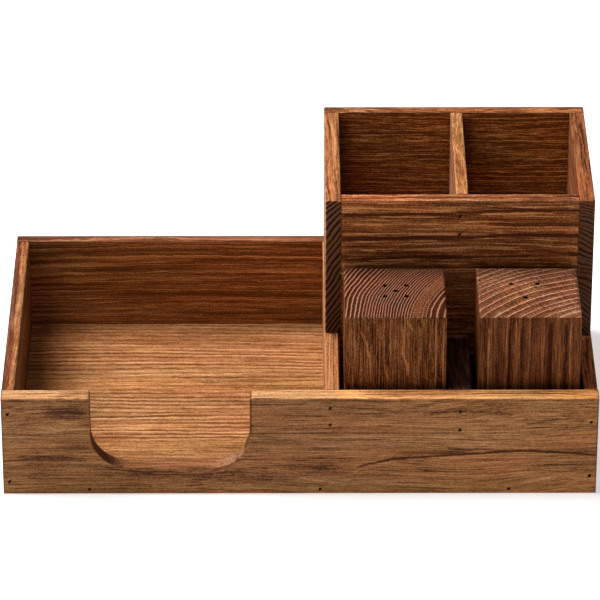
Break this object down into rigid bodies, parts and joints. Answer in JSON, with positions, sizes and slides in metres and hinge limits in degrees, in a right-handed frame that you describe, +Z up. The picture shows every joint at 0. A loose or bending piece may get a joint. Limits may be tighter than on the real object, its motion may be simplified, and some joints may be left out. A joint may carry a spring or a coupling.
{
  "type": "cutlery caddy",
  "caption": "Wooden table organiser with an open napkin tray, a tall divided cutlery box and square salt and pepper shakers in pockets.",
  "frame": {"origin": "middle of the underside, on the surface that the organiser stands on", "axes": "+X to the right along the front board, from the napkin tray to the shakers; +Y from front to rear; +Z up"},
  "size_m": [0.34, 0.195, 0.1505],
  "materials": {
    "floor_oak": "oiled, golden, grain along the width",
    "front_oak": "oiled, greyish brown, grain along the width",
    "red_oak": "oiled, red-brown",
    "dark_oak": "oiled, dark brown",
    "shaker_oak": "oiled, upright grain with end grain on top",
    "brad_steel": "darkened",
    "stopper_rubber": "matt black"
  },
  "bodies": {
    "base": {"front_board": "front_oak", "rear_board": "red_oak", "left_wall": "red_oak", "right_wall": "dark_oak", "tray_floor": "floor_oak", "tray_divider": "red_oak", "pocket_spacer": "dark_oak", "box_left_wall": "dark_oak", "box_right_wall": "dark_oak", "box_front_board": "red_oak", "box_rear_board": "red_oak", "box_mid_divider": "red_oak", "brad_front_left_wall_1": "brad_steel", "brad_front_left_wall_2": "brad_steel", "brad_front_right_wall_1": "brad_steel", "brad_front_right_wall_2": "brad_steel", "brad_front_tray_divider_1": "brad_steel", "brad_front_tray_divider_2": "brad_steel", "brad_front_tray_floor_1": "brad_steel", "brad_front_tray_floor_2": "brad_steel", "brad_front_tray_floor_3": "brad_steel", "brad_front_pocket_spacer_1": "brad_steel", "brad_front_pocket_spacer_2": "brad_steel", "brad_front_box_mid_divider_1": "brad_steel", "brad_front_box_mid_divider_2": "brad_steel", "brad_rear_left_wall_1": "brad_steel", "brad_rear_left_wall_2": "brad_steel", "brad_rear_right_wall_1": "brad_steel", "brad_rear_right_wall_2": "brad_steel", "brad_rear_tray_divider_1": "brad_steel", "brad_rear_tray_divider_2": "brad_steel", "brad_rear_tray_floor_1": "brad_steel", "brad_rear_tray_floor_2": "brad_steel", "brad_rear_tray_floor_3": "brad_steel", "brad_rear_box_mid_divider_1": "brad_steel", "brad_rear_box_mid_divider_2": "brad_steel", "brad_rear_box_left_wall_1": "brad_steel", "brad_rear_box_left_wall_2": "brad_steel", "brad_rear_box_right_wall_1": "brad_steel", "brad_rear_box_right_wall_2": "brad_steel", "brad_left_box_front_board_1": "brad_steel", "brad_left_box_front_board_2": "brad_steel", "brad_right_box_front_board_1": "brad_steel", "brad_right_box_front_board_2": "brad_steel"},
    "salt_shaker": {"salt_shaker_body": "shaker_oak", "salt_shaker_stopper": "stopper_rubber"},
    "pepper_shaker": {"pepper_shaker_body": "shaker_oak", "pepper_shaker_stopper": "stopper_rubber"}
  },
  "joints": [
    {"name": "salt_shaker_lift", "type": "slide", "parent": "base", "child": "salt_shaker", "axis": [0, 0, 1], "range_m": [0, 0.15]},
    {"name": "pepper_shaker_lift", "type": "slide", "parent": "base", "child": "pepper_shaker", "axis": [0, 0, 1], "range_m": [0, 0.15]}
  ]
}
